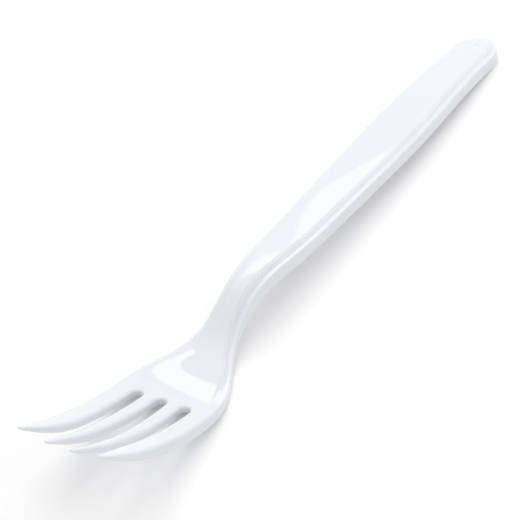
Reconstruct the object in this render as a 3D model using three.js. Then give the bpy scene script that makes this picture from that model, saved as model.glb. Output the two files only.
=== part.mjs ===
// One-piece moulded plastic fork, lying as it rests on a table.
// Millimetres, +Z up. X runs across the fork, the tines point to -Y and the handle to +Y.
// The origin is on the table, under the middle of the fork's length.

import * as THREE from 'three';

// Lengths along the fork, one after the other from the tips of the inner tines
const tineLength = 36.4;
const palmLength = 11.5;
const shoulderLength = 10.5;
const neckFootLength = 9;
const neckRiseLength = 8;
const handleLength = 108;
const outerTipSetback = 0.6;
const endLength = 6.85;

// Heights of the upper edge above the table
const tipHeight = 22.5;
const slotEndHeight = 4.2;
const heelHeight = 2.6;
const neckFootHeight = 4.55;
const neckHeight = 9.2;
const crestHeight = 10.65;
const crestBackHeight = 10.1;
const upperHandleHeight = 8.55;
const widestHeight = 6.45;
const lowerHandleHeight = 5.15;
const endCentreHeight = 3.5;
const endHeight = 2.65;

// Half widths of the outline seen from above
const palmHalfWidth = 12.2;
const shoulderHalfWidth = 11.65;
const heelHalfWidth = 9.5;
const neckFootHalfWidth = 4.75;
const neckHalfWidth = 3.88;
const crestHalfWidth = 4.35;
const crestBackHalfWidth = 5;
const upperHandleHalfWidth = 5.75;
const widestHalfWidth = 6.43;
const endHalfWidth = 5.45;
const endTaper = 0.1;

// Tines and the slots between them
const slotWidth = 2.54;
const slotPitch = 6.1;
const slotFlare = 0.9;
const tipWidth = 0.9;
const innerTipX = 3.05;
const outerTipX = 9.95;
const outerTineTaper = 0.25;
const innerTineTaper = 0.5;
const innerTineSpread = 0.2;
const innerTineDip = 1;

// Thickness of the edge, seen from the side
const tipThickness = 0.9;
const frontTineThickness = 2.6;
const tineThickness = 2.9;
const palmThickness = 2.75;
const neckSkirt = 3.4;
const handleSkirt = 3.2;

// Raised panel and the two steps of its border, as insets from the outer edge and rises
const edgeChamfer = 0.45;
const rimWidth = 0.85;
const ledgeWidth = 1.2;
const riserWidth = 0.15;
const borderWidth = 1.8;
const rimRise = 0.08;
const ledgeRise = 0.35;
const ledgeSlope = 0.05;
const neckPanelRise = 1.05;
const handlePanelRise = 0.7;
const panelCrown = 0.12;

// Hollow underside of the neck and handle
const plateWall = 1.5;
const skirtWall = 1.3;
const wallDraft = 0.15;

// Shares of the tines' length, from the tips, where their outline is set
const frontTineShare = 0.25;
const widestTineShare = 0.6;
const tineStraightShare = 0.53;

// Shares of the palm and the shoulder, from the slots backwards
const borderStartShare = 0.2;
const shoulderShare = 0.43;
const borderFullShare = 0.4;
const hollowStartShare = 0.6;

// Shares of the handle, from the crest to the start of its rounded end
const crestBackShare = 0.1;
const upperHandleShare = 0.3;
const widestShare = 0.68;
const lowerHandleShare = 0.9;

// Most of a tine's width or thickness that a chamfer may take
const chamferLimit = 1 / 3;

// Number of mesh steps in each stretch of the length
const tineSteps = 8;
const slotEndSteps = 4;
const palmSteps = 6;
const neckSteps = 10;
const handleSteps = 12;
const endSteps = 7;

// Corners nearer to each other than this are one vertex
const mergeDistance = 0.0001;

// Columns of the mesh on one side, numbered from the middle line to the outer edge.
// Over the tines, columns 0, 1 and 5 to 7 belong to the slots' centre lines and edges.
const columnCount = 11;
const innerSlotEdge = 1;
const sideSlotNearEdge = 5;
const sideSlotCentre = 6;
const sideSlotFarEdge = 7;
const panelColumns = 6;
const ceilingColumns = columnCount - 2;

// Places along the length that follow from the lengths above
const slotEnd = tineLength;
const slotCentre = slotEnd - slotWidth / 2;
const heel = slotEnd + palmLength;
const neckFoot = heel + shoulderLength;
const neck = neckFoot + neckFootLength;
const crest = neck + neckRiseLength;
const totalLength = crest + handleLength;
const endCentre = totalLength - endLength;
const frontTine = tineLength * frontTineShare;
const widestTine = tineLength * widestTineShare;
const crestBack = handlePlace(crestBackShare);
const upperHandle = handlePlace(upperHandleShare);
const widest = handlePlace(widestShare);
const lowerHandle = handlePlace(lowerHandleShare);
const borderStart = slotEnd + palmLength * borderStartShare;
const borderFull = heel + shoulderLength * borderFullShare;
const hollowStart = heel + shoulderLength * hollowStartShare;

function handlePlace(share) {
  return THREE.MathUtils.lerp(crest, endCentre, share);
}

// A smooth curve through a short list of places and values (natural cubic spline).
function smoothCurve(points) {
  const n = points.length - 1;
  const place = points.map((p) => p[0]);
  const value = points.map((p) => p[1]);
  const bend = new Array(n + 1).fill(0);
  const upper = new Array(n + 1).fill(0);
  for (let i = 1; i < n; i += 1) {
    const before = place[i] - place[i - 1];
    const after = place[i + 1] - place[i];
    const slopeBefore = (value[i] - value[i - 1]) / before;
    const slopeAfter = (value[i + 1] - value[i]) / after;
    const pivot = 2 * (before + after) - before * upper[i - 1];
    upper[i] = after / pivot;
    bend[i] = (6 * (slopeAfter - slopeBefore) - before * bend[i - 1]) / pivot;
  }
  for (let i = n - 1; i > 0; i -= 1) {
    bend[i] -= upper[i] * bend[i + 1];
  }
  return (s) => {
    const at = Math.min(Math.max(s, place[0]), place[n]);
    let i = 0;
    while (i < n - 1 && at > place[i + 1]) {
      i += 1;
    }
    const span = place[i + 1] - place[i];
    const a = (place[i + 1] - at) / span;
    const b = 1 - a;
    const sag = ((a ** 3 - a) * bend[i] + (b ** 3 - b) * bend[i + 1]) * span * span / 6;
    return a * value[i] + b * value[i + 1] + sag;
  };
}

// Rises smoothly from 0 at the first place to 1 at the second.
function fade(from, to, s) {
  return THREE.MathUtils.smoothstep(s, from, to);
}

// Height of a tine's upper edge at a share of its length, 0 at the slot's end and 1 at the tip.
function tineHeight(share) {
  const rise = tineStraightShare * share + (1 - tineStraightShare) * share * share;
  return THREE.MathUtils.lerp(slotEndHeight, tipHeight, rise);
}

const edgeHeight = smoothCurve([
  [0, tineHeight(1)],
  [tineLength / 3, tineHeight(2 / 3)],
  [tineLength * 2 / 3, tineHeight(1 / 3)],
  [slotEnd, tineHeight(0)],
  [heel, heelHeight],
  [neckFoot, neckFootHeight],
  [neck, neckHeight],
  [crest, crestHeight],
  [crestBack, crestBackHeight],
  [upperHandle, upperHandleHeight],
  [widest, widestHeight],
  [lowerHandle, lowerHandleHeight],
  [endCentre, endCentreHeight],
  [totalLength, endHeight],
]);

const outerTipHalfWidth = outerTipX + tipWidth / 2;

const halfWidth = smoothCurve([
  [0, outerTipHalfWidth],
  [frontTine, (outerTipHalfWidth + 2 * palmHalfWidth) / 3],
  [widestTine, palmHalfWidth],
  [slotCentre, palmHalfWidth],
  [slotEnd + palmLength * shoulderShare, shoulderHalfWidth],
  [heel, heelHalfWidth],
  [neckFoot, neckFootHalfWidth],
  [neck, neckHalfWidth],
  [crest, crestHalfWidth],
  [crestBack, crestBackHalfWidth],
  [upperHandle, upperHandleHalfWidth],
  [widest, widestHalfWidth],
  [endCentre, endHalfWidth],
  [totalLength, endHalfWidth - endTaper],
]);

const edgeThickness = smoothCurve([
  [0, tipThickness],
  [frontTine, frontTineThickness],
  [slotEnd, tineThickness],
  [heel, palmThickness],
  [neck, neckSkirt],
  [crestBack, handleSkirt],
  [totalLength, handleSkirt],
]);

// Edges of the tines, from the tips to the straight part of the slots
const innerEdge = smoothCurve([
  [0, innerTipX - tipWidth / 2],
  [frontTine, slotWidth / 2 + slotFlare],
  [widestTine, slotWidth / 2 + slotFlare / 2],
  [slotCentre, slotWidth / 2],
]);

const middleEdge = smoothCurve([
  [0, innerTipX + tipWidth / 2],
  [frontTine, slotPitch - slotWidth / 2 - innerTineTaper],
  [widestTine, slotPitch - slotWidth / 2 + innerTineSpread],
  [slotCentre, slotPitch - slotWidth / 2],
]);

const outerEdge = smoothCurve([
  [0, outerTipX - tipWidth / 2],
  [frontTine, slotPitch + slotWidth / 2 + outerTineTaper],
  [widestTine, slotPitch + slotWidth / 2],
  [slotCentre, slotPitch + slotWidth / 2],
]);

function panelRise(s) {
  const rise = THREE.MathUtils.lerp(neckPanelRise, handlePanelRise, fade(neck, upperHandle, s));
  return rise * fade(borderStart, borderFull, s);
}

// The two inner tines dip below the outer ones, more so towards the tips.
function innerDip(x, s) {
  const share = Math.max(0, (slotEnd - s) / tineLength);
  const nearMiddle = 1 - fade(slotPitch - slotWidth / 2, slotPitch + slotWidth / 2, Math.abs(x));
  return innerTineDip * share * nearMiddle;
}

function topHeight(x, s, drop) {
  return edgeHeight(s) - innerDip(x, s) - drop;
}

// The underside is flat on the table where the fork rests, under the palm and the handle's end.
function bottomHeight(x, s) {
  return Math.max(0, edgeHeight(s) - innerDip(x, s) - edgeThickness(s));
}

// A mesh column in one row is a place across (x), a place along (s) and a drop below the edge.
// Near a tip the chamfer shrinks with the tine.
function tineColumns(s) {
  const inner = innerEdge(s);
  const middle = middleEdge(s);
  const outer = outerEdge(s);
  const width = halfWidth(s);
  const chamfer = Math.min(edgeChamfer, (middle - inner) * chamferLimit);
  const drop = Math.min(edgeChamfer, edgeThickness(s) * chamferLimit);
  const outerPlace = s + outerTipSetback * (1 - s / slotCentre);
  return [
    [0, s, drop],
    [inner, s, drop],
    [inner + chamfer, s, 0],
    [(inner + middle) / 2, s, 0],
    [middle - chamfer, s, 0],
    [middle, s, drop],
    [slotPitch, s, drop],
    [outer, outerPlace, drop],
    [outer + chamfer, outerPlace, 0],
    [(outer + width) / 2, outerPlace, 0],
    [width - chamfer, outerPlace, 0],
    [width, outerPlace, drop],
  ];
}

// Columns that follow the round ends of the slots, from their centre line to 90 degrees on.
function slotEndColumns(turn) {
  const edge = slotWidth / 2 * Math.cos(turn);
  const edgePlace = slotCentre + slotWidth / 2 * Math.sin(turn);
  const ridge = (slotWidth / 2 + edgeChamfer) * Math.cos(turn);
  const ridgePlace = slotCentre + (slotWidth / 2 + edgeChamfer) * Math.sin(turn);
  const width = halfWidth(ridgePlace);
  return [
    [0, edgePlace, edgeChamfer],
    [edge, edgePlace, edgeChamfer],
    [ridge, ridgePlace, 0],
    [slotPitch / 2, ridgePlace, 0],
    [slotPitch - ridge, ridgePlace, 0],
    [slotPitch - edge, edgePlace, edgeChamfer],
    [slotPitch, edgePlace, edgeChamfer],
    [slotPitch + edge, edgePlace, edgeChamfer],
    [slotPitch + ridge, ridgePlace, 0],
    [(slotPitch + ridge + width) / 2, ridgePlace, 0],
    [width - edgeChamfer, ridgePlace, 0],
    [width, ridgePlace, edgeChamfer],
  ];
}

// Where each slot has closed, its columns meet in one point past the chamfer.
function closedSlotColumns() {
  const columns = slotEndColumns(Math.PI / 2);
  columns[0] = columns[innerSlotEdge + 1];
  columns[innerSlotEdge] = columns[innerSlotEdge + 1];
  for (let k = sideSlotNearEdge; k <= sideSlotFarEdge; k += 1) {
    columns[k] = columns[sideSlotNearEdge - 1];
  }
  return columns;
}

// Columns spread evenly over the palm behind the slots
function palmColumns(s) {
  const width = halfWidth(s);
  const columns = [];
  for (let k = 0; k < sideSlotCentre; k += 1) {
    columns.push([slotPitch * k / sideSlotCentre, s, 0]);
  }
  const outerSteps = columnCount - 1 - sideSlotCentre;
  for (let k = 0; k <= outerSteps; k += 1) {
    columns.push([THREE.MathUtils.lerp(slotPitch, width - edgeChamfer, k / outerSteps), s, 0]);
  }
  columns.push([width, s, edgeChamfer]);
  return columns;
}

// Section of the neck and handle, from the middle of the panel to the outer edge.
// Each point is an inset from the outer edge and a drop below the edge line.
function handleSection(s) {
  const rise = panelRise(s);
  const full = fade(borderStart, borderFull, s);
  const section = [];
  for (let i = 0; i < panelColumns; i += 1) {
    const share = i / panelColumns;
    const inset = THREE.MathUtils.lerp(halfWidth(s), borderWidth, share);
    section.push([inset, -rise - panelCrown * full * (1 - share * share)]);
  }
  section.push([borderWidth, -rise]);
  section.push([ledgeWidth + riserWidth, -(ledgeRise + ledgeSlope) * full]);
  section.push([ledgeWidth, -ledgeRise * full]);
  section.push([rimWidth, -rimRise * full]);
  section.push([edgeChamfer, 0]);
  section.push([0, edgeChamfer]);
  return section;
}

function handleColumns(s) {
  return handleSection(s).map(([inset, drop]) => [halfWidth(s) - inset, s, drop]);
}

// Where a line at an inset from the outer edge runs round the end of the handle.
function endPlace(inset, turn) {
  const s = endCentre + Math.max(0, endLength - inset) * Math.sin(turn);
  return [halfWidth(s) * (1 - inset / endHalfWidth) * Math.cos(turn), s];
}

function endColumns(turn) {
  return handleSection(endCentre).map(([inset, drop]) => [...endPlace(inset, turn), drop]);
}

// Section of the underside: the ceiling of the hollow, its inner wall and the skirt's lower face.
// Each point is an inset from the outer edge and a share of the hollow's depth.
function hollowSection(s, depth) {
  const section = [];
  for (let i = 0; i <= ceilingColumns; i += 1) {
    const share = i / ceilingColumns;
    section.push([THREE.MathUtils.lerp(halfWidth(s), skirtWall + wallDraft, share), depth]);
  }
  section.push([skirtWall, 0]);
  section.push([0, 0]);
  return section;
}

// The underside follows the upper columns on the palm and the hollow's section on the handle.
function hollowColumns(columns, s, spread) {
  const section = hollowSection(s, fade(hollowStart, neck, s));
  return columns.map(([x], i) => {
    const [inset, depth] = section[i];
    return [THREE.MathUtils.lerp(x, halfWidth(s) - inset, spread), s, depth];
  });
}

function hollowEndColumns(turn) {
  return hollowSection(endCentre, 1).map(([inset, depth]) => [...endPlace(inset, turn), depth]);
}

function solidUnderside(columns) {
  return columns.map(([x, s]) => [x, s, 0]);
}

function mixColumns(a, b, share) {
  return a.map((column, i) => column.map((value, k) => THREE.MathUtils.lerp(value, b[i][k], share)));
}

// One row of the mesh: its upper columns, its underside and whether the slots are still open.
const rows = [];

function addRow(columns, underside, slotsOpen) {
  rows.push({ columns, underside, slotsOpen });
}

function addTineRows() {
  for (let i = 0; i <= tineSteps; i += 1) {
    const columns = tineColumns(slotCentre * i / tineSteps);
    addRow(columns, solidUnderside(columns), true);
  }
  for (let i = 1; i <= slotEndSteps; i += 1) {
    const columns = slotEndColumns(Math.PI / 2 * i / slotEndSteps);
    addRow(columns, solidUnderside(columns), i < slotEndSteps);
  }
  addRow(closedSlotColumns(), solidUnderside(closedSlotColumns()), false);
}

// Evenly spaced places from the first up to, and without, the last.
function evenPlaces(from, to, steps) {
  const places = [];
  for (let i = 0; i < steps; i += 1) {
    places.push(THREE.MathUtils.lerp(from, to, i / steps));
  }
  return places;
}

function addPalmAndHandleRows() {
  const start = slotEnd + edgeChamfer + slotWidth / 2;
  const places = [
    ...evenPlaces(start, borderFull, palmSteps),
    ...evenPlaces(borderFull, crestBack, neckSteps),
    ...evenPlaces(crestBack, endCentre, handleSteps),
    endCentre,
  ];
  for (const s of places) {
    const spread = fade(start, borderFull, s);
    const columns = mixColumns(palmColumns(s), handleColumns(s), spread);
    addRow(columns, hollowColumns(columns, s, spread), false);
  }
}

function addEndRows() {
  for (let i = 1; i <= endSteps; i += 1) {
    const turn = Math.PI / 2 * i / endSteps;
    addRow(endColumns(turn), hollowEndColumns(turn), false);
  }
}

addTineRows();
addPalmAndHandleRows();
addEndRows();

// Vertices are shared wherever two corners have the same place.
const vertices = [];
const indices = [];
const vertexAt = new Map();

function vertex(x, s, z) {
  const y = s - totalLength / 2;
  const key = [x, y, z].map((v) => Math.round(v / mergeDistance)).join(' ');
  if (!vertexAt.has(key)) {
    vertexAt.set(key, vertices.length / 3);
    vertices.push(x, y, z);
  }
  return vertexAt.get(key);
}

function triangle(a, b, c) {
  if (a !== b && b !== c && c !== a) {
    indices.push(a, b, c);
  }
}

function quad(a, b, c, d) {
  triangle(a, b, c);
  triangle(a, c, d);
}

// Columns run from the left edge (-columnCount) to the right one (+columnCount).
function topVertex(row, column) {
  const [x, s, drop] = rows[row].columns[Math.abs(column)];
  return vertex(Math.sign(column) * x, s, topHeight(x, s, drop));
}

function bottomVertex(row, column) {
  const [x, s, depth] = rows[row].underside[Math.abs(column)];
  const ceiling = edgeHeight(s) + panelRise(s) - plateWall;
  return vertex(Math.sign(column) * x, s, THREE.MathUtils.lerp(bottomHeight(x, s), ceiling, depth));
}

// Whether the cell between a column and the next one is material in the interval after a row.
function isSolid(row, column) {
  if (column < -columnCount || column >= columnCount) {
    return false;
  }
  if (!rows[row].slotsOpen) {
    return true;
  }
  const near = Math.min(Math.abs(column), Math.abs(column + 1));
  const inMiddleSlot = near < innerSlotEdge;
  const inSideSlot = near >= sideSlotNearEdge && near < sideSlotFarEdge;
  return !inMiddleSlot && !inSideSlot;
}

for (let row = 0; row < rows.length - 1; row += 1) {
  const next = row + 1;
  for (let column = -columnCount; column < columnCount; column += 1) {
    const beside = column + 1;
    if (isSolid(row, column)) {
      quad(topVertex(row, column), topVertex(row, beside), topVertex(next, beside), topVertex(next, column));
      quad(
        bottomVertex(row, column),
        bottomVertex(next, column),
        bottomVertex(next, beside),
        bottomVertex(row, beside),
      );
      if (row === 0) {
        quad(bottomVertex(0, column), bottomVertex(0, beside), topVertex(0, beside), topVertex(0, column));
      }
    }
  }
  for (let column = -columnCount; column <= columnCount; column += 1) {
    const left = isSolid(row, column - 1);
    const right = isSolid(row, column);
    const low = [bottomVertex(row, column), bottomVertex(next, column)];
    const high = [topVertex(row, column), topVertex(next, column)];
    if (left && !right) {
      quad(low[0], low[1], high[1], high[0]);
    }
    if (right && !left) {
      quad(low[0], high[0], high[1], low[1]);
    }
  }
}

const geometry = new THREE.BufferGeometry();
geometry.setAttribute('position', new THREE.Float32BufferAttribute(vertices, 3));
geometry.setIndex(indices);
geometry.computeVertexNormals();

const whitePlastic = new THREE.MeshStandardMaterial({
  color: 0xf2f3f6,
  roughness: 0.18,
  metalness: 0,
});

const fork = new THREE.Mesh(geometry, whitePlastic);
fork.name = 'fork';

const part = new THREE.Group();
part.add(fork);

export default part;
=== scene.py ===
"""A glossy white moulded plastic fork lying on a pale floor under soft studio light."""

import math

import bmesh
import bpy
import numpy as np
from bpy.props import FloatProperty, FloatVectorProperty, IntProperty, PointerProperty
from mathutils import Matrix, Vector


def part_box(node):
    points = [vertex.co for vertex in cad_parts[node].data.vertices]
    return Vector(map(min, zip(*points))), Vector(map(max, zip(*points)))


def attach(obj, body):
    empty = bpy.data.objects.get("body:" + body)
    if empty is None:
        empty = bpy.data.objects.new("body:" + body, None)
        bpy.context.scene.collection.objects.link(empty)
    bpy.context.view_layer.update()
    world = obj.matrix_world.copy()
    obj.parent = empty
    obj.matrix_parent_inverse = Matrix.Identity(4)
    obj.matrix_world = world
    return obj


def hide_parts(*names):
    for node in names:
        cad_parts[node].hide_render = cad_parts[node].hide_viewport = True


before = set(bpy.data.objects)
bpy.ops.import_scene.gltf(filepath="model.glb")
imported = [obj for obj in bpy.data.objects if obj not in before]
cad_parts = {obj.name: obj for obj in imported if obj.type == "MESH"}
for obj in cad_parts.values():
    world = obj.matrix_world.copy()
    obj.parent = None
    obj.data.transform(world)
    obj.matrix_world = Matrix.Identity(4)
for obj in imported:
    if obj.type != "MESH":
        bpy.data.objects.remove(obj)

bl_info = {
    "name": "Plastic Fork",
    "version": (1, 0, 0),
    "blender": (4, 5, 0),
    "location": "3D View > Sidebar > Plastic Fork",
    "description": "Makes a moulded plastic fork, its gloss finish, and a small photo studio",
    "category": "Add Mesh",
}

MM = 0.001
LOW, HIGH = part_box("fork")
FORK_LENGTH = HIGH.y - LOW.y
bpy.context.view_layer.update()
SENSOR_WIDTH = 36


def length(name, millimetres, description):
    """A size property, written in millimetres and kept in metres."""
    return FloatProperty(
        name=name, description=description, default=millimetres * MM, unit="LENGTH", precision=5
    )


def share(name, value, description):
    """A property for a plain number, such as a share or a strength."""
    return FloatProperty(name=name, description=description, default=value, precision=3)


def angle(name, degrees, description):
    """An angle property, written in degrees and kept in radians."""
    return FloatProperty(
        name=name, description=description, default=math.radians(degrees), unit="ROTATION"
    )


def colour(name, value, description):
    """A colour property."""
    return FloatVectorProperty(
        name=name, description=description, default=value, subtype="COLOR", size=3, min=0, max=1
    )


def place(name, millimetres, description):
    """A point, written in millimetres and kept in metres."""
    return FloatVectorProperty(
        name=name,
        description=description,
        default=[part * MM for part in millimetres],
        subtype="TRANSLATION",
        size=3,
        precision=5,
    )


def count(name, value, description):
    """A whole number of mesh steps."""
    return IntProperty(name=name, description=description, default=value, min=2)


class ForkLengths(bpy.types.PropertyGroup):
    """Lengths along the fork, one after the other from the tips of the inner tines."""

    tines: length("Tines", 36.4, "From the inner tips to the ends of the slots")
    palm: length("Palm", 11.5, "From the ends of the slots to the heel")
    shoulder: length("Shoulder", 10.5, "From the heel to the foot of the neck")
    neck_foot: length("Neck foot", 9, "From the foot of the neck to its narrowest place")
    neck_rise: length("Neck rise", 8, "From the narrowest place to the crest")
    end: length("Rounded end", 6.85, "Length of the handle's rounded end")
    outer_setback: length("Outer tip setback", 0.6, "How far the outer tips lie behind")


class ForkHeights(bpy.types.PropertyGroup):
    """Heights of the upper edge above the table."""

    tip: length("Tip", 22.5, "At the tips of the outer tines")
    slot_end: length("Slot end", 4.2, "At the ends of the slots")
    heel: length("Heel", 2.6, "At the lowest place of the palm")
    neck_foot: length("Neck foot", 4.55, "At the foot of the neck")
    neck: length("Neck", 9.2, "At the narrowest place of the neck")
    crest: length("Crest", 10.6, "At the highest place of the handle")
    crest_back: length("Crest back", 9.7, "Just behind the crest")
    upper_handle: length("Upper handle", 8.13, "On the upper part of the handle")
    widest: length("Widest place", 6.0, "Where the handle is widest")
    lower_handle: length("Lower handle", 4.65, "Near the handle's end")
    end_start: length("End start", 3.4, "Where the rounded end starts")
    end: length("End", 2.65, "At the very end")


class ForkWidths(bpy.types.PropertyGroup):
    """Half widths of the outline seen from above."""

    palm: length("Palm", 12.2, "Half width of the palm")
    shoulder: length("Shoulder", 11.65, "Half width behind the slots")
    heel: length("Heel", 9.5, "Half width at the heel")
    neck_foot: length("Neck foot", 4.75, "Half width at the foot of the neck")
    neck: length("Neck", 3.88, "Half width at the narrowest place")
    crest: length("Crest", 4.35, "Half width at the crest")
    crest_back: length("Crest back", 5.08, "Half width just behind the crest")
    upper_handle: length("Upper handle", 5.85, "Half width on the upper handle")
    widest: length("Widest place", 6.5, "Half width where the handle is widest")
    end: length("End", 5.45, "Half width where the rounded end starts")


class ForkTines(bpy.types.PropertyGroup):
    """Tines and the slots between them."""

    slot: length("Slot width", 2.54, "Width of a slot at its root")
    pitch: length("Pitch", 6.1, "Distance between the middles of two slots")
    flare: length("Slot flare", 0.9, "How much the middle slot opens towards the tips, each side")
    tip_width: length("Tip width", 0.9, "Width of a tine just behind its rounded tip")
    inner_tip: length("Inner tip", 3.05, "From the middle line to an inner tip")
    outer_tip: length("Outer tip", 9.95, "From the middle line to an outer tip")
    outer_taper: length("Outer taper", 0.25, "How much an outer tine thins near its tip")
    inner_taper: length("Inner taper", 0.5, "How much an inner tine thins near its tip")
    inner_spread: length("Inner spread", 0.2, "How much an inner tine swells midway")
    inner_dip: length("Inner dip", 1, "How far the inner tips lie below the outer ones")
    root_round: length("Root rounding", 0.9, "Rounding of the tines' upper edges at the slots' ends")
    front_round: length("Front rounding", 1.3, "Rounding of the tines' upper edges near the tips")
    tip_round: length("Tip rounding", 0.8, "Length over which a tip closes")


class ForkThickness(bpy.types.PropertyGroup):
    """Thickness of the edge, seen from the side, and of the walls."""

    tip: length("Tip", 0.9, "Thickness just behind a rounded tip")
    front: length("Front", 2.6, "Thickness of the tines near the tips")
    tine: length("Tine", 2.9, "Thickness of the tines at the slots' ends")
    palm: length("Palm", 2.75, "Thickness of the palm")
    neck: length("Neck skirt", 3.4, "Height of the neck's side")
    handle: length("Handle skirt", 3.45, "Height of the handle's side")
    plate: length("Plate", 1.5, "Wall above the hollow")
    skirt: length("Skirt", 1.3, "Wall beside the hollow")
    draft: length("Draft", 0.15, "How much the hollow narrows upwards")
    fillet: length("Fillet", 0.5, "Rounding inside the hollow")
    lower_round: length("Lower rounding", 0.18, "Rounding of the lower edges")
    root_lift: length("Root lift", 1.05, "How much thinner the tines are away from the outer edge")


class ForkBorder(bpy.types.PropertyGroup):
    """Raised panel and the two steps of its border, as insets and rises."""

    edge_round: length("Edge rounding", 0.22, "Rounding of the handle's upper edge")
    rim: length("Rim", 1.0, "Inset where the rim ends and the first riser starts")
    ledge: length("Ledge", 1.2, "Inset where the first riser ends")
    ledge_back: length("Ledge back", 1.4, "Inset where the second riser starts")
    shoulder: length("Shoulder", 1.68, "Inset where the second riser ends")
    panel: length("Panel", 2.25, "Inset where the panel starts")
    rim_rise: length("Rim rise", 0.08, "How far the rim slopes up")
    neck_rise: length("Neck panel rise", 1.25, "Rise of the panel on the neck")
    handle_rise: length("Handle panel rise", 0.66, "Rise of the panel on the handle")
    crown: length("Crown", 0.12, "How much the panel bulges in the middle")
    ledge_share: share("Ledge share", 0.34, "Height of the ledge as a share of the panel's rise")
    shoulder_share: share("Shoulder share", 0.78, "Height of the shoulder as a share of it")
    mark_back: length("Mark setback", 6.6, "From the end to the middle of the round mould mark")
    mark_radius: length("Mark radius", 1.5, "Radius of the round mould mark")
    mark_depth: length("Mark depth", 0.08, "Depth of the round mould mark")
    pit_back: length("Pit setback", 4.95, "From the end to the small moulding pit")
    pit_radius: length("Pit radius", 0.75, "Radius of the pit")
    pit_depth: length("Pit depth", 0.3, "Depth of the pit")


class ForkMesh(bpy.types.PropertyGroup):
    """Fineness of the mesh."""

    tine_rows: count("Tine rows", 56, "Rows along the tines")
    tip_rows: count("Tip rows", 7, "Rows round each tip")
    turn_rows: count("Turn rows", 9, "Rows round the slots' ends")
    palm_rows: count("Palm rows", 34, "Rows along the palm and shoulder")
    neck_rows: count("Neck rows", 70, "Rows along the neck")
    handle_rows: count("Handle rows", 100, "Rows along the handle")
    mark_rows: count("Mark rows", 12, "Rows along the mould mark")
    end_rows: count("End rows", 40, "Rows round the handle's end")


class PlasticFinish(bpy.types.PropertyGroup):
    """Look of the moulded plastic."""

    base: colour("Colour", (0.886, 0.896, 0.943), "Colour of the plastic")
    roughness: share("Roughness", 0.03, "Roughness of the polished surface")
    ior: share("Refraction", 1.55, "Refractive index of the plastic")
    depth: length("Scatter depth", 0.6, "How far light travels inside the plastic")
    scatter: share("Scatter share", 0.3, "Share of the light that travels inside")
    wave: length("Wave", 0.006, "Depth of the slow waves of the moulded surface")
    wave_size: length("Wave size", 9, "Length of the slow waves")
    grain: length("Grain", 0.0004, "Depth of the fine grain of the polished mould")


class StudioLight(bpy.types.PropertyGroup):
    """Lamps and floor."""

    floor: colour("Floor", (0.93, 0.93, 0.93), "Colour of the floor")
    floor_lift: share("Floor lift", 0.13, "Light added to the floor in the camera's eye only")
    world: share("World", 0.54, "Strength of the soft light from all around")
    top: share("Top lamp", 1.3, "Brightness of the big soft lamp above")
    top_place: place("Top lamp place", (-250, 450, 1100), "Middle of the lamp above")
    top_size: length("Top lamp size", 1300, "Width and length of the lamp above")
    fill: share("Fill lamp", 0.95, "Brightness of the soft lamp at the right")
    fill_place: place("Fill lamp place", (650, 50, 700), "Middle of the lamp at the right")
    fill_size: length("Fill lamp size", 600, "Width and length of the lamp at the right")
    panel: share("Softbox", 3.3, "Brightness of the softbox's upper corner in the gloss")
    panel_low: share("Softbox low", 1.9, "Brightness of the softbox's lower corner")
    panel_distance: length("Softbox distance", 350, "From the origin to the softbox")
    panel_azimuth: angle("Softbox azimuth", -33, "Turn of the softbox from +Y")
    panel_elevation: angle("Softbox elevation", 38, "Angle of the softbox above the table")


class CameraPlace(bpy.types.PropertyGroup):
    """Where the camera stands."""

    azimuth: angle("Azimuth", 35.89, "Turn round the fork from the tines' side")
    elevation: angle("Elevation", 39.24, "Angle above the table")
    roll: angle("Roll", -7.03, "Tilt about the viewing direction")
    distance: length("Distance", 656.5, "From the camera to the point it looks at")
    target_along: length("Target along", 77.7, "The point's place from the inner tips")
    target_height: length("Target height", 11.64, "The point's height")
    lens_share: share("Lens share", 5.703, "Focal length as a share of the picture's width")


class ForkSettings(bpy.types.PropertyGroup):
    """All sizes and colours of the fork and its studio."""

    lengths: PointerProperty(type=ForkLengths)
    heights: PointerProperty(type=ForkHeights)
    widths: PointerProperty(type=ForkWidths)
    tines: PointerProperty(type=ForkTines)
    thickness: PointerProperty(type=ForkThickness)
    border: PointerProperty(type=ForkBorder)
    mesh: PointerProperty(type=ForkMesh)
    finish: PointerProperty(type=PlasticFinish)
    light: PointerProperty(type=StudioLight)
    camera: PointerProperty(type=CameraPlace)


# Places along the fork, as shares of the length that each lies on

FRONT_SHARE = 0.25
MIDDLE_SHARE = 0.6
STRAIGHT_SHARE = 0.53
ROUND_START_SHARE = 0.4
LIFT_SHARES = (0.1, 0.6)
BORDER_START_SHARE = 0.2
PALM_SHOULDER_SHARE = 0.43
SPREAD_SHARE = 0.6
BORDER_FULL_SHARE = 0.4
HOLLOW_START_SHARE = 0.6
CREST_BACK_SHARE = 0.1
UPPER_HANDLE_SHARE = 0.3
WIDEST_SHARE = 0.68
LOWER_HANDLE_SHARE = 0.9

# Shares of smaller sizes: the panel's slope, the rim, a tine's thickness and the mark's radius

PANEL_FOOT_SHARE = 0.4
RIM_SHARES = (0.5, 0.9)
ROUND_LIMIT = 0.46
MARK_EDGE_SHARE = 0.85

# Mesh columns across one half of the fork

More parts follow.
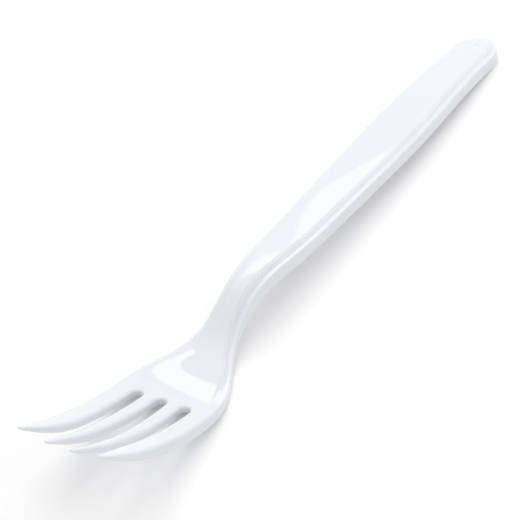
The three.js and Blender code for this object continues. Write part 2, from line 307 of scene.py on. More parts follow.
EDGE_STEPS = 6
TINE_STEPS = 4
SLOPE_STEPS = 4
RISER_STEPS = 5
BORDER_STEPS = SLOPE_STEPS + 2 * RISER_STEPS + 4
FILLET_STEPS = 7
CORNER_STEPS = 5
WALL_STEPS = 4
LAND_STEPS = 2
TURNS = np.linspace(0, math.pi / 2, EDGE_STEPS + 1)
ROUND_IN = 1 - np.cos(TURNS)
ROUND_DROP = 1 - np.sin(TURNS)
INNER_EDGE = 1
NEAR_EDGE = INNER_EDGE + 2 * EDGE_STEPS + TINE_STEPS + 1
FAR_EDGE = NEAR_EDGE + 2
PANEL_COLUMNS = FAR_EDGE + EDGE_STEPS + 1 + TINE_STEPS
BORDER_COLUMNS = BORDER_STEPS + EDGE_STEPS + 1
LAST_COLUMN = PANEL_COLUMNS + BORDER_COLUMNS - 1
WALL_SHARES = (0.08, 0.5, 0.92)
UPPER_LAYER, LOWER_LAYER, WALL_LAYER = 0, 1, 2
MERGE = 2e-7

# Sizes of the plastic's patterns, and how far they change its colour and roughness

CLOUD_SIZE = 14 * MM
CLOUD_SHADE = 0.99
ROUGH_SIZE = 5 * MM
ROUGH_SHARES = (0.85, 1.15)
GRAIN_SIZE = 0.25 * MM
SCATTER_REACH = (1, 0.95, 0.9)

# The stage: the softbox's corners and the glow between two of them, and the floor

SOFTBOX_CORNERS = ((-0.32, 0.33), (0.2, 0.24), (0.2, -0.07), (0.0, -0.145))
SOFTBOX_MIDDLE = 0.75
FLOOR_REACH = 2.0
FLOOR_HEIGHT = -0.1 * MM
FLOOR_CORNERS = ((-1, -1), (1, -1), (1, 1), (-1, 1))


def fade(start, stop, at):
    """Rises smoothly from 0 at start to 1 at stop."""
    t = np.clip((at - start) / (stop - start), 0, 1)
    return t * t * (3 - 2 * t)


def lerp(a, b, t):
    """The value that lies a share t of the way from a to b."""
    return a + (b - a) * t


def inner_steps(a, b, steps):
    """Evenly spaced values between a and b, without either."""
    return np.linspace(a, b, steps + 2)[1:-1]


class SmoothCurve:
    """A smooth line through a short list of places and values (natural cubic spline)."""

    def __init__(self, *points):
        self.place, self.value = np.array(points, dtype=float).T
        gap = np.diff(self.place)
        slope = np.diff(self.value) / gap
        matrix = np.eye(len(self.place))
        right = np.zeros(len(self.place))
        for i in range(1, len(self.place) - 1):
            matrix[i, i - 1 : i + 2] = gap[i - 1], 2 * (gap[i - 1] + gap[i]), gap[i]
            right[i] = 6 * (slope[i] - slope[i - 1])
        self.bend = np.linalg.solve(matrix, right)

    def __call__(self, at):
        at = np.clip(at, self.place[0], self.place[-1])
        i = np.clip(np.searchsorted(self.place, at) - 1, 0, len(self.place) - 2)
        span = self.place[i + 1] - self.place[i]
        a = (self.place[i + 1] - at) / span
        b = 1 - a
        sag = ((a**3 - a) * self.bend[i] + (b**3 - b) * self.bend[i + 1]) * span**2 / 6
        return a * self.value[i] + b * self.value[i + 1] + sag


class ForkForm:
    """Curves, sections and mesh rows of the fork. Places along it run from the inner tips."""

    def __init__(self, settings):
        self.sizes = settings
        self.place_stations()
        self.make_outline()
        self.make_tine_edges()
        self.rows = []

    def place_stations(self):
        """Places along the fork that follow from its lengths."""
        lengths, tines = self.sizes.lengths, self.sizes.tines
        self.slot_end = lengths.tines
        self.slot_centre = self.slot_end - tines.slot / 2
        self.heel = self.slot_end + lengths.palm
        self.neck_foot = self.heel + lengths.shoulder
        self.neck = self.neck_foot + lengths.neck_foot
        self.crest = self.neck + lengths.neck_rise
        self.end_start = FORK_LENGTH - lengths.end
        self.front = FRONT_SHARE * lengths.tines
        self.middle = MIDDLE_SHARE * lengths.tines
        self.crest_back = lerp(self.crest, self.end_start, CREST_BACK_SHARE)
        self.upper_handle = lerp(self.crest, self.end_start, UPPER_HANDLE_SHARE)
        self.widest = lerp(self.crest, self.end_start, WIDEST_SHARE)
        self.lower_handle = lerp(self.crest, self.end_start, LOWER_HANDLE_SHARE)
        self.border_start = self.slot_end + BORDER_START_SHARE * lengths.palm
        self.border_full = self.heel + BORDER_FULL_SHARE * lengths.shoulder
        self.hollow_start = self.heel + HOLLOW_START_SHARE * lengths.shoulder
        border = self.sizes.border
        self.panel_foot = lerp(border.panel, border.shoulder, PANEL_FOOT_SHARE)

    def tine_height(self, at):
        """Height of a tine's upper edge at a share of its length from the slot's end."""
        heights = self.sizes.heights
        return lerp(heights.slot_end, heights.tip, lerp(at * at, at, STRAIGHT_SHARE))

    def make_outline(self):
        """Upper edge, half width and thickness as curves along the fork."""
        heights, widths, tines = self.sizes.heights, self.sizes.widths, self.sizes.tines
        thick = self.sizes.thickness
        third = self.slot_end / 3
        tip_half = tines.outer_tip + tines.tip_width / 2
        self.edge = SmoothCurve(
            (0, self.tine_height(1)),
            (third, self.tine_height(2 / 3)),
            (2 * third, self.tine_height(1 / 3)),
            (self.slot_end, heights.slot_end),
            (self.heel, heights.heel),
            (self.neck_foot, heights.neck_foot),
            (self.neck, heights.neck),
            (self.crest, heights.crest),
            (self.crest_back, heights.crest_back),
            (self.upper_handle, heights.upper_handle),
            (self.widest, heights.widest),
            (self.lower_handle, heights.lower_handle),
            (self.end_start, heights.end_start),
            (FORK_LENGTH, heights.end),
        )
        self.half = SmoothCurve(
            (0, tip_half),
            (self.front, (tip_half + 2 * widths.palm) / 3),
            (self.middle, widths.palm),
            (self.slot_centre, widths.palm),
            (lerp(self.slot_end, self.heel, PALM_SHOULDER_SHARE), widths.shoulder),
            (self.heel, widths.heel),
            (self.neck_foot, widths.neck_foot),
            (self.neck, widths.neck),
            (self.crest, widths.crest),
            (self.crest_back, widths.crest_back),
            (self.upper_handle, widths.upper_handle),
            (self.widest, widths.widest),
            (self.end_start, widths.end),
            (FORK_LENGTH, widths.end),
        )
        self.thickness = SmoothCurve(
            (0, thick.tip),
            (self.front, thick.front),
            (self.slot_end, thick.tine),
            (self.heel, thick.palm),
            (self.neck, thick.neck),
            (self.crest_back, thick.handle),
            (FORK_LENGTH, thick.handle),
        )

    def outer_round(self, s):
        """Rounding of the outer upper edge."""
        tines = self.sizes.tines
        tine = lerp(tines.front_round, tines.root_round, fade(0, self.middle, s))
        return lerp(tine, self.sizes.border.edge_round, fade(self.middle, self.heel, s))

    def make_tine_edges(self):
        """The tines' edges as curves from the tips to the straight part of the slots."""
        tines = self.sizes.tines
        reach = tines.slot / 2
        half_tip = tines.tip_width / 2
        self.tine_edges = (
            SmoothCurve(
                (0, tines.inner_tip - half_tip),
                (self.front, reach + tines.flare),
                (self.middle, reach + tines.flare / 2),
                (self.slot_centre, reach),
            ),
            SmoothCurve(
                (0, tines.inner_tip + half_tip),
                (self.front, tines.pitch - reach - tines.inner_taper),
                (self.middle, tines.pitch - reach + tines.inner_spread),
                (self.slot_centre, tines.pitch - reach),
            ),
            SmoothCurve(
                (0, tines.outer_tip - half_tip),
                (self.front, tines.pitch + reach + tines.outer_taper),
                (self.middle, tines.pitch + reach),
                (self.slot_centre, tines.pitch + reach),
            ),
        )

    def border_insets(self, start, stop):
        """Insets of the border's columns, close together on its two risers."""
        border = self.sizes.border
        slope = np.linspace(border.panel, self.panel_foot, SLOPE_STEPS)
        inner = np.linspace(border.shoulder, border.ledge_back, RISER_STEPS + 1)
        outer = np.linspace(border.ledge, border.rim, RISER_STEPS + 1)
        rim = lerp(border.rim, border.edge_round, np.array(RIM_SHARES))
        insets = np.concatenate([slope, inner, outer, rim])
        part = (insets - border.edge_round) / (border.panel - border.edge_round)
        return lerp(stop, start, part)

    def panel_rise(self, s):
        """How far the panel stands above the edge line."""
        border = self.sizes.border
        rise = lerp(border.neck_rise, border.handle_rise, fade(self.neck, self.upper_handle, s))
        return rise * fade(self.border_start, self.border_full, s)

    def inner_dip(self, x, s):
        """How far the inner tines lie below the outer ones."""
        tines = self.sizes.tines
        reach = tines.slot / 2
        along = np.clip((self.slot_end - s) / self.slot_end, 0, 1)
        return tines.inner_dip * along * (1 - fade(tines.pitch - reach, tines.pitch + reach, x))

    def root_lift(self, x, s):
        """How far the underside lies higher round the slots than at the outer edge."""
        side = self.sizes.tines.pitch + self.sizes.tines.slot / 2
        start, stop = (part * self.slot_end for part in LIFT_SHARES)
        along = fade(start, stop, s)
        along = along * (1 - fade(self.border_start, self.heel, s))
        across = 1 - fade(side, self.half(s) - self.sizes.thickness.lower_round, x)
        return self.sizes.thickness.root_lift * along * across

    def border_rise(self, inset, rise):
        """Height above the edge line at an inset from the outer edge."""
        border = self.sizes.border
        rim = border.rim_rise * fade(0, border.rim, inset)
        ledge = border.ledge_share * rise - border.rim_rise
        shoulder = (border.shoulder_share - border.ledge_share) * rise
        panel = (1 - border.shoulder_share) * rise
        return (
            rim
            + ledge * fade(border.rim, border.ledge, inset)
            + shoulder * fade(border.ledge_back, border.shoulder, inset)
            + panel * fade(self.panel_foot, border.panel, inset)
        )

    def add_row(self, upper, lower, slots_open):
        """Keeps one row: arrays of places across, places along and heights for both faces."""
        self.rows.append((upper, lower, slots_open))

    def tip_cap(self, s):
        """Share of a tine's full size left where its tip closes."""
        back = np.clip(1 - s / self.sizes.tines.tip_round, 0, 1)
        return math.sqrt(1 - back * back)

    def tine_face(self, s, edges, rounds, cap):
        """Places across a half row of the tines and how far each lies inside its rounding."""
        inner, middle, outer, width = edges
        inner_round, outer_round = rounds
        flat = lerp(inner_round, self.sizes.border.panel, cap)
        flat = min(max(flat, outer_round), (width - outer) / 2)
        x = np.concatenate([
            [0],
            inner + inner_round * ROUND_IN,
            inner_steps(inner + inner_round, middle - inner_round, TINE_STEPS),
            middle - inner_round * ROUND_IN[::-1],
            [self.sizes.tines.pitch],
            outer + inner_round * ROUND_IN,
            inner_steps(outer + inner_round, width - flat, TINE_STEPS),
            width - self.border_insets(flat, outer_round),
            width - outer_round * ROUND_IN[::-1],
        ])
        drop = np.concatenate([
            [inner_round],
            inner_round * ROUND_DROP,
            np.zeros(TINE_STEPS),
            inner_round * ROUND_DROP[::-1],
            [inner_round],
            inner_round * ROUND_DROP,
            np.zeros(TINE_STEPS + BORDER_STEPS),
            outer_round * ROUND_DROP[::-1],
        ])
        return x, drop

    def add_tine_row(self, s):
        """One row across the open tines."""
        cap = self.tip_cap(s)
        inner, middle, outer = (float(curve(s)) for curve in self.tine_edges)
        width = float(self.half(s))
        inner_mid, inner_half = (inner + middle) / 2, (middle - inner) / 2 * cap
        outer_mid, outer_half = (outer + width) / 2, (width - outer) / 2 * cap
        edges = (
            inner_mid - inner_half,
            inner_mid + inner_half,
            outer_mid - outer_half,
            outer_mid + outer_half,
        )
        thickness = float(self.thickness(s)) * cap
        tines = self.sizes.tines
        back = fade(ROUND_START_SHARE * self.slot_end, self.slot_end, s)
        wish = lerp(tines.front_round, tines.root_round, back)
        limit = ROUND_LIMIT * min(2 * inner_half, thickness)
        upper_round = min(wish, limit)
        rounds = (upper_round, min(float(self.outer_round(s)), limit))
        lower_round = min(self.sizes.thickness.lower_round, limit)
        setback = self.sizes.lengths.outer_setback * (1 - s / self.slot_centre)
        along = np.full(LAST_COLUMN + 1, s)
        along[FAR_EDGE:] += setback
        x, drop = self.tine_face(s, edges, rounds, cap)
        x_low, lift = self.tine_face(s, edges, (lower_round, lower_round), cap)
        centre = self.edge(along) - self.thickness(s) / 2
        upper = (x, along, centre - self.inner_dip(x, s) + thickness / 2 - drop)
        floor = np.maximum(0, centre - self.inner_dip(x_low, s) - thickness / 2)
        floor = floor + self.root_lift(x_low, s)
        self.add_row(upper, (x_low, along, floor + lift), True)

    def slot_turn_face(self, turn, radius, outer_round):
        """Places on a half row that follows the round ends of the slots."""
        tines = self.sizes.tines
        ring = (tines.slot / 2 + radius * ROUND_IN) * math.cos(turn)
        ring_along = self.slot_centre + (tines.slot / 2 + radius * ROUND_IN) * math.sin(turn)
        s = ring_along[-1]
        width = float(self.half(s))
        border = self.border_insets(self.sizes.border.panel, outer_round)
        far = tines.pitch + ring
        x = np.concatenate([
            [0],
            ring,
            inner_steps(ring[-1], tines.pitch - ring[-1], TINE_STEPS),
            tines.pitch - ring[::-1],
            [tines.pitch],
            far,
            inner_steps(far[-1], width - border[0], TINE_STEPS),
            width - border,
            width - outer_round * ROUND_IN[::-1],
        ])
        behind = np.full(TINE_STEPS, s)
        start = [ring_along[0]]
        along = np.concatenate([
            start,
            ring_along,
            behind,
            ring_along[::-1],
            start,
            ring_along,
            behind,
            np.full(BORDER_COLUMNS, s),
        ])
        drop = np.concatenate([
            [radius],
            radius * ROUND_DROP,
            np.zeros(TINE_STEPS),
            radius * ROUND_DROP[::-1],
            [radius],
            radius * ROUND_DROP,
            np.zeros(TINE_STEPS + BORDER_STEPS),
            outer_round * ROUND_DROP[::-1],
        ])
        return x, along, drop

    def close_slots(self, face):
        """Brings the columns of each slot together behind its rounding."""
        x, along, height = (values.copy() for values in face)
        for values in (x, along, height):
            values[: INNER_EDGE + EDGE_STEPS] = values[INNER_EDGE + EDGE_STEPS]
            values[NEAR_EDGE - EDGE_STEPS : FAR_EDGE + EDGE_STEPS] = values[NEAR_EDGE - EDGE_STEPS]
        return x, along, height

    def add_slot_end_rows(self):
        """Rows that sweep round the ends of the slots and then close them."""
        lower_round = self.sizes.thickness.lower_round
        outer_round = float(self.outer_round(self.slot_end))
        steps = self.sizes.mesh.turn_rows
        for i in range(1, steps + 1):
            turn = math.pi / 2 * i / steps
            x, along, drop = self.slot_turn_face(turn, self.sizes.tines.root_round, outer_round)
            upper = (x, along, self.edge(along) - self.inner_dip(x, along) - drop)
            x, along, lift = self.slot_turn_face(turn, lower_round, lower_round)
            floor = self.floor_height(x, along) + self.root_lift(x, along)
            lower = (x, along, floor + lift)
            self.add_row(upper, lower, i < steps)
        self.closing_row = len(self.rows) - 1
        self.add_row(self.close_slots(upper), self.close_slots(lower), False)

    def floor_height(self, x, s):
        """Height of the underside, which is flat where the fork rests on the table."""
        return np.maximum(0, self.edge(s) - self.inner_dip(x, s) - self.thickness(s))

    def upper_section(self, s):
        """Insets from the outer edge, and roundings' drops, for the border's columns."""
        radius = float(self.outer_round(s))
        flat = self.border_insets(self.sizes.border.panel, radius)
        inset = np.concatenate([flat, radius * ROUND_IN[::-1]])
        drop = np.concatenate([np.zeros(BORDER_STEPS), radius * ROUND_DROP[::-1]])
        return inset, drop

    def hollow_section(self, s, floor, ceiling, depth):
        """Insets and heights down the inner wall, under the skirt and round its outer edge."""
        thick = self.sizes.thickness
        wall = thick.skirt + thick.draft
        corner = thick.lower_round
        bend = np.linspace(0, math.pi / 2, FILLET_STEPS)
        turn = np.linspace(0, math.pi / 2, CORNER_STEPS)
        fillet_in = wall + thick.fillet * (1 - np.sin(bend))
        fillet_z = ceiling - thick.fillet * (1 - np.cos(bend))
        corner_in = thick.skirt - corner * (1 - np.cos(turn))
        corner_z = floor + corner * (1 - np.sin(turn))
        wall_in = inner_steps(fillet_in[-1], corner_in[0], WALL_STEPS)
        wall_z = inner_steps(fillet_z[-1], corner_z[0], WALL_STEPS)
        land_in = inner_steps(corner_in[-1], corner, LAND_STEPS)
        inset = np.concatenate([fillet_in, wall_in, corner_in, land_in, corner * ROUND_IN[::-1]])
        height = np.concatenate([fillet_z, wall_z, corner_z, np.full(LAND_STEPS, floor)])
        height = lerp(floor, height, depth)
        return inset, np.concatenate([height, floor + corner * ROUND_DROP[::-1]])

    def add_handle_row(self, s, spread):
        """One row across the palm, neck or handle. Its columns spread out behind the slots."""
        border, tines = self.sizes.border, self.sizes.tines
        width, edge, rise = float(self.half(s)), float(self.edge(s)), float(self.panel_rise(s))
        full = float(fade(self.border_start, self.border_full, s))
        even = np.arange(PANEL_COLUMNS) / PANEL_COLUMNS
        bunched = np.concatenate([
            np.zeros(INNER_EDGE + EDGE_STEPS + 1),
            inner_steps(0, tines.pitch, TINE_STEPS),
            np.full(2 * EDGE_STEPS + 3, tines.pitch),
            inner_steps(tines.pitch, width - border.panel, TINE_STEPS),
        ])
        inset, drop = self.upper_section(s)
        panel_x = lerp(bunched, even * (width - border.panel), spread)
        crown = border.crown * full * (1 - (panel_x / (width - border.panel)) ** 2)
        x = np.concatenate([panel_x, width - inset])
        height = np.concatenate([
            edge + rise + crown,
            edge + self.border_rise(inset, rise) * full - drop,
        ])
        upper = (x, np.full_like(x, s), height + self.mark_relief(x, s))
        depth = float(fade(self.hollow_start, self.neck, s))
        blend = float(fade(self.border_start, self.hollow_start, s))
        floor = float(self.floor_height(0, s))
        ceiling = edge + rise - self.sizes.thickness.plate
        hollow_in, hollow_z = self.hollow_section(s, floor, ceiling, depth)
        corner = self.sizes.thickness.lower_round
        solid_in = np.concatenate([self.border_insets(border.panel, corner), corner * ROUND_IN[::-1]])
        inset = lerp(solid_in, hollow_in, blend)
        roof_x = lerp(bunched, even * (width - inset[0]), spread)
        x = np.concatenate([roof_x, width - inset])
        height = np.concatenate([np.full(PANEL_COLUMNS, lerp(floor, ceiling, depth)), hollow_z])
        height = height + self.root_lift(x, s)
        self.add_row(upper, (x, np.full_like(x, s), height), False)

    def mark_relief(self, x, s):
        """Relief of the round mould mark and the pit near the handle's end."""
        border = self.sizes.border
        from_mark = np.hypot(x, s - FORK_LENGTH + border.mark_back)
        from_pit = np.hypot(x, s - FORK_LENGTH + border.pit_back)
        dish = 1 - fade(MARK_EDGE_SHARE * border.mark_radius, border.mark_radius, from_mark)
        pit = 1 - fade(0, border.pit_radius, from_pit)
        return -border.pit_depth * pit - border.mark_depth * dish

    def round_place(self, inset, turn):
        """Where a line at an inset from the outer edge runs round the handle's end."""
        end, half = self.sizes.lengths.end, self.sizes.widths.end
        s = self.end_start + np.maximum(0, end - inset) * math.sin(turn)
        return self.half(s) * (1 - inset / half) * math.cos(turn), s

    def add_end_row(self, turn):
        """One row round the handle's end."""
        border, thick = self.sizes.border, self.sizes.thickness
        half = self.sizes.widths.end
        even = 1 - np.arange(PANEL_COLUMNS) / PANEL_COLUMNS
        inset, drop = self.upper_section(self.end_start)
        inset = np.concatenate([lerp(border.panel, half, even), inset])
        drop = np.concatenate([np.zeros(PANEL_COLUMNS), drop])
        x, s = self.round_place(inset, turn)
        rise = self.panel_rise(self.end_start)
        panel_half = half - border.panel
        across = np.clip(half - inset, 0, panel_half) / panel_half
        crown = border.crown * (1 - across**2)
        height = self.edge(s) + self.border_rise(inset, rise) + crown - drop
        upper = (x, s, height + self.mark_relief(x, s))
        section_in, section_z = self.hollow_section(self.end_start, 0.0, 1.0, 1.0)
        inset = np.concatenate([lerp(section_in[0], half, even), section_in])
        x, s = self.round_place(inset, turn)
        floor = self.floor_height(0, s)
        ceiling = self.edge(s) + rise - thick.plate
        height = np.empty_like(x)
        for k in range(len(x)):
            if k < PANEL_COLUMNS:
                height[k] = ceiling[k]
            else:
                local = self.hollow_section(s[k], floor[k], ceiling[k], 1.0)[1]
                height[k] = local[k - PANEL_COLUMNS]
        self.add_row(upper, (x, s, height), False)

    def make_rows(self):
        """All rows of the mesh, from the tips to the handle's end."""
        steps = self.sizes.mesh
        tip = self.sizes.tines.tip_round
        for i in range(steps.tip_rows):
            self.add_tine_row(tip * (1 - math.cos(math.pi / 2 * i / steps.tip_rows)))
        for s in np.linspace(tip, self.slot_centre, steps.tine_rows):
            self.add_tine_row(float(s))
        self.add_slot_end_rows()
        start = self.slot_end + self.sizes.tines.root_round
        spread_length = SPREAD_SHARE * self.sizes.lengths.palm
        for s in np.linspace(start, self.border_full, steps.palm_rows)[1:]:
            self.add_handle_row(float(s), min(1, (s - start) / spread_length))
        for s in np.linspace(self.border_full, self.crest_back, steps.neck_rows)[1:]:
            self.add_handle_row(float(s), 1)
        mark_start = self.end_start - self.sizes.border.mark_radius
        for s in np.linspace(self.crest_back, mark_start, steps.handle_rows)[1:]:
            self.add_handle_row(float(s), 1)
        for s in np.linspace(mark_start, self.end_start, steps.mark_rows)[1:]:
            self.add_handle_row(float(s), 1)
        for i in range(1, steps.end_rows + 1):
            self.add_end_row(math.pi / 2 * i / steps.end_rows)

    def is_solid(self, row, column):
        """Whether the cell after a column is material in the interval after a row."""
        if column < -LAST_COLUMN or column >= LAST_COLUMN:
            return False
        if not self.rows[row][2]:
            return True
        near = min(abs(column), abs(column + 1))
        return near >= INNER_EDGE and not NEAR_EDGE <= near < FAR_EDGE

    def mesh_data(self):
        """Vertices and faces of the whole fork."""
        self.make_rows()
        across = 2 * LAST_COLUMN + 1
        per_row = across * (WALL_LAYER + len(WALL_SHARES))
        vertices = []
        for upper, lower, _ in self.rows:
            high = self.both_sides(upper)
            low = self.both_sides(lower)
            vertices.append(high)
            vertices.append(low)
            vertices.extend(lerp(low, high, part) for part in WALL_SHARES)
        faces = []

        def at(layer, row, column):
            return row * per_row + layer * across + column + LAST_COLUMN

        wall = [LOWER_LAYER, *range(WALL_LAYER, WALL_LAYER + len(WALL_SHARES)), UPPER_LAYER]
        for row in range(len(self.rows) - 1):
            if row == self.closing_row:
                continue
            for column in range(-LAST_COLUMN, LAST_COLUMN + 1):
                right = self.is_solid(row, column)
                left = self.is_solid(row, column - 1)
                if right:
                    near = (row, column), (row, column + 1)
                    corners = (*near, (row + 1, column + 1), (row + 1, column))
                    faces.append([at(UPPER_LAYER, *corner) for corner in corners])
                    faces.append([at(LOWER_LAYER, *corner) for corner in reversed(corners)])
                if left != right:
                    for low, high in zip(wall, wall[1:]):
                        side = [at(low, row, column), at(low, row + 1, column)]
                        side += [at(high, row + 1, column), at(high, row, column)]
                        faces.append(side if left else side[::-1])
        return np.concatenate(vertices), faces

    def both_sides(self, face):
        """Points of a row from the left edge to the right one."""
        x, s, z = face
        half = np.stack([x, s + LOW.y, z], axis=1)
        left = half[:0:-1] * (-1, 1, 1)
        return np.concatenate([left, half])


def mesh_from(name, vertices, faces):
    """A smooth closed mesh whose touching corners are joined."""
    mesh = bpy.data.meshes.new(name)
    mesh.from_pydata(vertices.tolist(), [], faces)
    work = bmesh.new()
    work.from_mesh(mesh)
    bmesh.ops.remove_doubles(work, verts=work.verts, dist=MERGE)
    bmesh.ops.dissolve_degenerate(work, dist=MERGE, edges=work.edges)
    loose = [vertex for vertex in work.verts if not vertex.link_faces]
    bmesh.ops.delete(work, geom=loose, context="VERTS")
    open_edges = sum(1 for edge in work.edges if len(edge.link_faces) != 2)
    work.to_mesh(mesh)
    work.free()
    if open_edges:
        raise RuntimeError(f"{name} isn't closed: {open_edges} open edges")
    mesh.shade_smooth()
    return mesh


def gloss_plastic(finish):
    """Polished white plastic with slow waves, a fine grain and a little light inside."""
    material = bpy.data.materials.new("gloss_white_plastic")
    material.use_nodes = True
    nodes, links = material.node_tree.nodes, material.node_tree.links
    shader = nodes["Principled BSDF"]
    shader.inputs["IOR"].default_value = finish.ior
    shader.inputs["Subsurface Weight"].default_value = finish.scatter
    shader.inputs["Subsurface Scale"].default_value = finish.depth
    shader.inputs["Subsurface Radius"].default_value = SCATTER_REACH
    place = nodes.new("ShaderNodeTexCoord")

    def noise(size, detail):
        node = nodes.new("ShaderNodeTexNoise")
        node.inputs["Scale"].default_value = 1 / size
        node.inputs["Detail"].default_value = detail
        links.new(place.outputs["Object"], node.inputs["Vector"])
        return node.outputs["Fac"]

    cloud = nodes.new("ShaderNodeMix")
    cloud.data_type = "RGBA"
    cloud.inputs["A"].default_value = (*[CLOUD_SHADE * part for part in finish.base], 1)
    cloud.inputs["B"].default_value = (*finish.base, 1)
    links.new(noise(CLOUD_SIZE, 3), cloud.inputs["Factor"])
    links.new(cloud.outputs["Result"], shader.inputs["Base Color"])
    rough = nodes.new("ShaderNodeMapRange")
    rough.inputs["To Min"].default_value = ROUGH_SHARES[0] * finish.roughness
    rough.inputs["To Max"].default_value = ROUGH_SHARES[1] * finish.roughness
    links.new(noise(ROUGH_SIZE, 4), rough.inputs["Value"])
    links.new(rough.outputs["Result"], shader.inputs["Roughness"])
    normal = None
    for size, depth in ((finish.wave_size, finish.wave), (GRAIN_SIZE, finish.grain)):
        bump = nodes.new("ShaderNodeBump")
        bump.inputs["Distance"].default_value = depth
        links.new(noise(size, 1), bump.inputs["Height"])
        if normal:
            links.new(normal, bump.inputs["Normal"])
        normal = bump.outputs["Normal"]
    links.new(normal, shader.inputs["Normal"])
    return material


class PLASTICFORK_OT_moulding(bpy.types.Operator):
    """Makes the fork in one moulded piece and gives it its gloss finish"""

    bl_idname = "plastic_fork.moulding"
    bl_label = "Moulded fork"

    def execute(self, context):
        settings = context.scene.plastic_fork
        vertices, faces = ForkForm(settings).mesh_data()
        mesh = mesh_from("moulded_fork", vertices, faces)
        piece = bpy.data.objects.new("moulded_fork", mesh)
        context.scene.collection.objects.link(piece)
        mesh.materials.append(gloss_plastic(settings.finish))
        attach(piece, "root")
        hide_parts("fork")
        return {"FINISHED"}


def camera_eye(nodes, links):
    """1 for rays from the camera and for glossy and transmitted ones, otherwise 0."""
    path = nodes.new("ShaderNodeLightPath")
    total = path.outputs["Is Camera Ray"]
    for name in ("Is Glossy Ray", "Is Transmission Ray"):
        add = nodes.new("ShaderNodeMath")
        add.operation = "MAXIMUM"
        links.new(total, add.inputs[0])
        links.new(path.outputs[name], add.inputs[1])
        total = add.outputs[0]
    return total


def floor_material(light):
    """Matt pale floor that the camera sees as white, with the fork's shadow."""
    material = bpy.data.materials.new("pale_floor")
    material.use_nodes = True
    nodes, links = material.node_tree.nodes, material.node_tree.links
    nodes.clear()
    matt = nodes.new("ShaderNodeBsdfDiffuse")
    matt.inputs["Color"].default_value = (*light.floor, 1)
    glow = nodes.new("ShaderNodeEmission")
    lift = nodes.new("ShaderNodeMath")
    lift.operation = "MULTIPLY"
    lift.inputs[1].default_value = light.floor_lift
    links.new(camera_eye(nodes, links), lift.inputs[0])
    links.new(lift.outputs[0], glow.inputs["Strength"])
    add = nodes.new("ShaderNodeAddShader")
    links.new(matt.outputs[0], add.inputs[0])
    links.new(glow.outputs[0], add.inputs[1])
    output = nodes.new("ShaderNodeOutputMaterial")
    links.new(add.outputs[0], output.inputs["Surface"])
    return material


def light_world(scene, light):
    """Soft white light from all around, which the camera sees as plain white."""
    world = bpy.data.worlds.new("studio_world")
    world.use_nodes = True
    nodes, links = world.node_tree.nodes, world.node_tree.links
    sky = nodes["Background"]
    strength = nodes.new("ShaderNodeMapRange")
    strength.inputs["To Min"].default_value = light.world
    strength.inputs["To Max"].default_value = 1
    links.new(camera_eye(nodes, links), strength.inputs["Value"])
    links.new(strength.outputs["Result"], sky.inputs["Strength"])
    sky.inputs["Color"].default_value = (1, 1, 1, 1)
    scene.world = world


def soft_lamp(scene, name, place, size, brightness):
    """A square soft lamp that points at the origin and isn't seen in the gloss."""
    data = bpy.data.lights.new(name, "AREA")
    data.shape = "SQUARE"
    data.size = size
    data.energy = brightness * math.pi * size**2
    lamp = bpy.data.objects.new(name, data)
    lamp.location = place
    lamp.rotation_euler = (-Vector(place)).to_track_quat("-Z", "Y").to_euler()
    lamp.visible_camera = False
    lamp.visible_glossy = False
    scene.collection.objects.link(lamp)


def softbox(scene, light):
    """The glowing panel behind the fork, which lights it a little and shows in its gloss."""
    azimuth, elevation = light.panel_azimuth, light.panel_elevation
    away = Vector((math.sin(azimuth), math.cos(azimuth), 0)) * math.cos(elevation)
    away.z = math.sin(elevation)
    across = Vector((math.cos(azimuth), -math.sin(azimuth), 0))
    upward = across.cross(away)
    corners = [(away + across * u + upward * v) * light.panel_distance for u, v in SOFTBOX_CORNERS]
    mesh = bpy.data.meshes.new("softbox")
    mesh.from_pydata(corners, [], [(0, 1, 2, 3)])
    material = bpy.data.materials.new("softbox_glow")
    material.use_nodes = True
    nodes, links = material.node_tree.nodes, material.node_tree.links
    nodes.clear()
    glow = nodes.new("ShaderNodeEmission")
    level = nodes.new("ShaderNodeAttribute")
    level.attribute_name = "glow"
    links.new(level.outputs["Fac"], glow.inputs["Strength"])
    output = nodes.new("ShaderNodeOutputMaterial")
    links.new(glow.outputs[0], output.inputs["Surface"])
    mesh.materials.append(material)
    middle = lerp(light.panel, light.panel_low, SOFTBOX_MIDDLE)
    glows = mesh.attributes.new("glow", "FLOAT", "POINT")
    glows.data.foreach_set("value", [light.panel, middle, light.panel_low, light.panel_low])
    panel = bpy.data.objects.new("softbox", mesh)
    panel.visible_camera = False
    panel.visible_shadow = False
    scene.collection.objects.link(panel)
    return panel


def camera_axes(place):
    """Right, up and forward directions of the camera."""
    a, e, r = place.azimuth, place.elevation, place.roll
    forward = Vector((-math.sin(a) * math.cos(e), math.cos(a) * math.cos(e), -math.sin(e)))
    level = Vector((math.cos(a), math.sin(a), 0))
    upright = level.cross(forward)
    right = level * math.cos(r) + upright * math.sin(r)
    up = upright * math.cos(r) - level * math.sin(r)
    return right, up, forward


def place_camera(scene, place):
    """The camera at the photograph's viewing angle."""
    right, up, forward = camera_axes(place)
    data = bpy.data.cameras.new("camera")
    data.sensor_width = SENSOR_WIDTH
    data.lens = place.lens_share * SENSOR_WIDTH
    camera = bpy.data.objects.new("camera", data)
    target = Vector((0, LOW.y + place.target_along, place.target_height))
    turn = Matrix((right, up, -forward)).transposed().to_4x4()
    camera.matrix_world = Matrix.Translation(target - forward * place.distance) @ turn
    scene.collection.objects.link(camera)
    scene.camera = camera


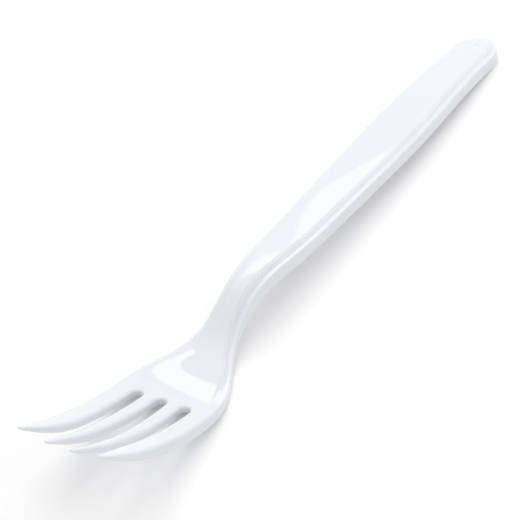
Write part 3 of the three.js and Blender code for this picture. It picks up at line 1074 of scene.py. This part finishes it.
class PLASTICFORK_OT_stage(bpy.types.Operator):
    """Makes the pale floor, the soft lamps, the softbox and the camera"""

    bl_idname = "plastic_fork.stage"
    bl_label = "Floor, lamps and camera"

    def execute(self, context):
        scene = context.scene
        settings = scene.plastic_fork
        light = settings.light
        mesh = bpy.data.meshes.new("floor")
        corners = [(x * FLOOR_REACH, y * FLOOR_REACH, FLOOR_HEIGHT) for x, y in FLOOR_CORNERS]
        mesh.from_pydata(corners, [], [(0, 1, 2, 3)])
        mesh.materials.append(floor_material(light))
        floor = bpy.data.objects.new("floor", mesh)
        scene.collection.objects.link(floor)
        light_world(scene, light)
        soft_lamp(scene, "top_lamp", light.top_place, light.top_size, light.top)
        soft_lamp(scene, "fill_lamp", light.fill_place, light.fill_size, light.fill)
        softbox(scene, light)
        place_camera(scene, settings.camera)
        scene.view_settings.view_transform = "Standard"
        return {"FINISHED"}


class PLASTICFORK_PT_panel(bpy.types.Panel):
    """Buttons and settings for the fork and its studio"""

    bl_idname = "PLASTICFORK_PT_panel"
    bl_label = "Plastic Fork"
    bl_space_type = "VIEW_3D"
    bl_region_type = "UI"
    bl_category = "Plastic Fork"

    def draw(self, context):
        for operator in OPERATORS:
            self.layout.operator(operator.bl_idname)
        for name in ForkSettings.__annotations__:
            group = getattr(context.scene.plastic_fork, name)
            box = self.layout.box()
            box.label(text=name.capitalize())
            for setting in type(group).__annotations__:
                box.prop(group, setting)


OPERATORS = (PLASTICFORK_OT_moulding, PLASTICFORK_OT_stage)
GROUPS = (
    ForkLengths,
    ForkHeights,
    ForkWidths,
    ForkTines,
    ForkThickness,
    ForkBorder,
    ForkMesh,
    PlasticFinish,
    StudioLight,
    CameraPlace,
    ForkSettings,
)
CLASSES = (*GROUPS, *OPERATORS, PLASTICFORK_PT_panel)


def register():
    """Registers the settings, the operators and the panel."""
    for cls in CLASSES:
        bpy.utils.register_class(cls)
    bpy.types.Scene.plastic_fork = PointerProperty(type=ForkSettings)


def unregister():
    """Takes everything that register adds away again."""
    del bpy.types.Scene.plastic_fork
    for cls in reversed(CLASSES):
        bpy.utils.unregister_class(cls)


def main():
    """Makes the fork and its studio."""
    register()
    bpy.ops.plastic_fork.moulding()
    bpy.ops.plastic_fork.stage()


if __name__ == "__main__":
    main()
